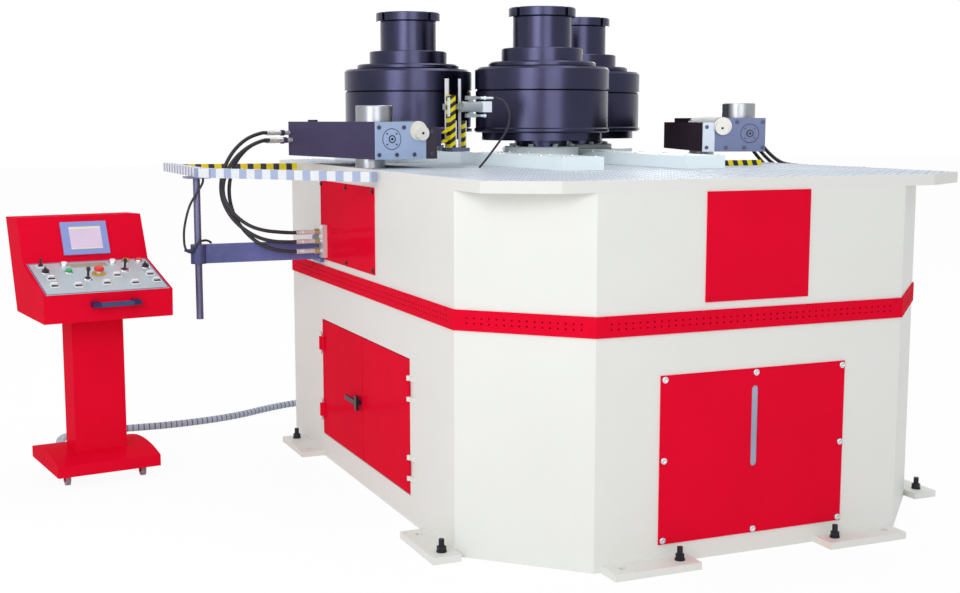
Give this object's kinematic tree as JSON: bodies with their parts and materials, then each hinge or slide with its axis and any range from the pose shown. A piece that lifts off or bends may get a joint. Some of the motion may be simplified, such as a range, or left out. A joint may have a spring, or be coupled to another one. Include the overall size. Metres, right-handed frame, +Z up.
{
  "type": "angle roll bender",
  "caption": "Angle roll bender: octagonal cabinet with red panels, vertical roll shafts with stacked dies, sliding side rolls, swinging guides, work support and wheeled control console.",
  "frame": {"origin": "on the floor under the middle of the casing", "axes": "+X to the machine's right, +Y to the back where the side rolls are, +Z up"},
  "size_m": [3.3838, 3.1088, 1.99],
  "materials": {
    "casing_white": "satin powder coat",
    "red_paint": "semi-gloss powder coat",
    "table_steel": "tread plate, satin",
    "black_steel": "black oxide, satin",
    "sight_glass": "clear",
    "dark_steel": "machined and blued",
    "bright_steel": "ground",
    "roll_steel": "hardened, blackened, satin",
    "plate_paint": "semi-gloss",
    "guide_paint": "satin",
    "stripe_paint": "satin",
    "hose_rubber": "matt",
    "cable_wrap": "matt",
    "screen_plastic": "gloss",
    "black_plastic": "matt",
    "stop_red": "gloss",
    "start_green": "gloss",
    "wheel_rubber": "matt"
  },
  "bodies": {
    "machine": {"lower_casing": "casing_white", "upper_casing": "casing_white", "belt": "red_paint", "table_plate": "table_steel", "levelling_bolts": "black_steel", "cover_panels": "red_paint", "sight_glass": "sight_glass", "hydraulic_unit": "casing_white", "center_housing": "dark_steel", "slide_cylinders": "bright_steel", "guide_posts": "dark_steel", "support_arm": "guide_paint", "hose_fittings": "bright_steel", "left_hoses": "hose_rubber", "right_hoses": "hose_rubber", "meter_cable": "hose_rubber", "support_cable": "hose_rubber", "console_cable": "cable_wrap"},
    "front_door": {"front_door_leaf": "red_paint"},
    "back_door": {"back_door_leaf": "red_paint"},
    "door_latch": {"door_handle": "black_steel"},
    "center_roll": {"center_shaft": "roll_steel", "center_spacers": "roll_steel", "center_dies": "roll_steel"},
    "left_slide": {"left_carriage": "dark_steel", "left_slide_plate": "plate_paint"},
    "left_roll": {"left_shaft": "roll_steel", "left_spacers": "roll_steel", "left_dies": "roll_steel"},
    "right_slide": {"right_carriage": "dark_steel", "right_slide_plate": "plate_paint"},
    "right_roll": {"right_shaft": "roll_steel", "right_spacers": "roll_steel", "right_dies": "roll_steel"},
    "left_guide": {"left_guide_arm": "guide_paint", "left_guide_face": "plate_paint", "left_guide_cylinder": "bright_steel"},
    "left_guide_wheel": {"left_guide_roller": "bright_steel"},
    "right_guide": {"right_guide_arm": "guide_paint", "right_guide_face": "plate_paint", "right_guide_cylinder": "bright_steel"},
    "right_guide_wheel": {"right_guide_roller": "bright_steel"},
    "meter": {"meter_bracket": "stripe_paint"},
    "meter_slider": {"meter_head": "bright_steel"},
    "support": {"support_post": "guide_paint", "support_frame": "plate_paint"},
    "console": {"console_base": "red_paint", "console_pedestal": "red_paint", "console_box": "red_paint", "console_deck": "bright_steel", "console_screen": "screen_plastic", "console_handle": "black_plastic"},
    "stop": {"stop_button": "stop_red"},
    "start": {"green_button": "start_green"},
    "left_knob": {"left_selector": "black_plastic"},
    "right_knob": {"right_selector": "black_plastic"},
    "left_stick": {"left_joystick": "black_plastic"},
    "right_stick": {"right_joystick": "black_plastic"},
    "front_axle": {"front_wheels": "wheel_rubber"},
    "back_axle": {"back_wheels": "wheel_rubber"}
  },
  "joints": [
    {"name": "front_door_swing", "type": "hinge", "parent": "machine", "child": "front_door", "pos_m": [-0.983, -0.5785, 0.36], "axis": [0, 0, 1], "range_deg": [0, 110]},
    {"name": "back_door_swing", "type": "hinge", "parent": "machine", "child": "back_door", "pos_m": [-0.983, 0.5525, 0.36], "axis": [0, 0, -1], "range_deg": [0, 110]},
    {"name": "door_handle_turn", "type": "hinge", "parent": "back_door", "child": "door_latch", "pos_m": [-0.975, 0.007, 0.345], "axis": [1, 0, 0], "range_deg": [0, 90]},
    {"name": "center_spin", "type": "hinge", "parent": "machine", "child": "center_roll", "pos_m": [0, 0.337, 1.3], "axis": [0, 0, 1], "continuous": true},
    {"name": "left_slide_move", "type": "slide", "parent": "machine", "child": "left_slide", "axis": [0, 1, 0], "range_m": [-0.09, 0.15]},
    {"name": "left_spin", "type": "hinge", "parent": "left_slide", "child": "left_roll", "pos_m": [-0.448, 0.847, 1.3], "axis": [0, 0, 1], "continuous": true},
    {"name": "right_slide_move", "type": "slide", "parent": "machine", "child": "right_slide", "axis": [0, 1, 0], "range_m": [-0.09, 0.15]},
    {"name": "right_spin", "type": "hinge", "parent": "right_slide", "child": "right_roll", "pos_m": [0.448, 0.847, 1.3], "axis": [0, 0, 1], "continuous": true},
    {"name": "left_guide_swing", "type": "hinge", "parent": "machine", "child": "left_guide", "pos_m": [-0.9117, 0.04653, 1.342], "axis": [0, 0, 1], "range_deg": [-3, 12], "deforming": ["left_hoses", "meter_cable"]},
    {"name": "left_guide_roller_spin", "type": "hinge", "parent": "left_guide", "child": "left_guide_wheel", "pos_m": [-0.892, 0.05, 1.46], "axis": [0, 0, 1], "continuous": true},
    {"name": "right_guide_swing", "type": "hinge", "parent": "machine", "child": "right_guide", "pos_m": [0.89963, 0.42485, 1.358], "axis": [0, 0, 1], "range_deg": [-12, 3], "deforming": ["right_hoses"]},
    {"name": "right_guide_roller_spin", "type": "hinge", "parent": "right_guide", "child": "right_guide_wheel", "pos_m": [0.841, 0.029, 1.48], "axis": [0, 0, 1], "continuous": true},
    {"name": "meter_reach", "type": "slide", "parent": "left_guide", "child": "meter", "axis": [0.9848, 0.1736, 0], "range_m": [0, 0.04], "deforming": ["meter_cable"]},
    {"name": "meter_height", "type": "slide", "parent": "meter", "child": "meter_slider", "axis": [0, 0, 1], "range_m": [-0.1, 0.09], "deforming": ["meter_cable"]},
    {"name": "support_height", "type": "slide", "parent": "machine", "child": "support", "axis": [0, 0, 1], "range_m": [-0.2, 0.1], "deforming": ["support_cable"]},
    {"name": "console_roll", "type": "slide", "parent": "machine", "child": "console", "axis": [-0.1392, 0.9903, 0], "range_m": [-0.25, 0.15], "deforming": ["console_cable"]},
    {"name": "front_wheel_spin", "type": "hinge", "parent": "console", "child": "front_axle", "pos_m": [-1.94252, 0.49336, 0.025], "axis": [0.9903, 0.1392, 0], "continuous": true},
    {"name": "back_wheel_spin", "type": "hinge", "parent": "console", "child": "back_axle", "pos_m": [-1.98148, 0.77064, 0.025], "axis": [0.9903, 0.1392, 0], "continuous": true},
    {"name": "stop_press", "type": "slide", "parent": "console", "child": "stop", "axis": [0.0404, -0.2873, 0.957], "range_m": [-0.006, 0], "stiffness_N_per_m": 800, "springref_m": 0.004},
    {"name": "start_press", "type": "slide", "parent": "console", "child": "start", "axis": [0.0404, -0.2873, 0.957], "range_m": [-0.004, 0], "stiffness_N_per_m": 600, "springref_m": 0.003},
    {"name": "left_selector_turn", "type": "hinge", "parent": "console", "child": "left_knob", "pos_m": [-2.14637, 0.52987, 0.87654], "axis": [0.0404, -0.2873, 0.957], "range_deg": [-45, 45]},
    {"name": "right_selector_turn", "type": "hinge", "parent": "console", "child": "right_knob", "pos_m": [-1.73551, 0.58825, 0.87674], "axis": [0.0404, -0.2873, 0.957], "range_deg": [-45, 45]},
    {"name": "left_joystick_tilt", "type": "hinge", "parent": "console", "child": "left_stick", "pos_m": [-1.98766, 0.46578, 0.85218], "axis": [0.9903, 0.1392, 0], "range_deg": [-15, 15], "stiffness_Nm_per_rad": 0.6},
    {"name": "right_joystick_tilt", "type": "hinge", "parent": "console", "child": "right_stick", "pos_m": [-1.82643, 0.5563, 0.87255], "axis": [0.9903, 0.1392, 0], "range_deg": [-15, 15], "stiffness_Nm_per_rad": 0.6}
  ],
  "couplings": [
    {"joint": "left_spin", "follows": "center_spin", "ratio": -1},
    {"joint": "right_spin", "follows": "center_spin", "ratio": -1}
  ]
}
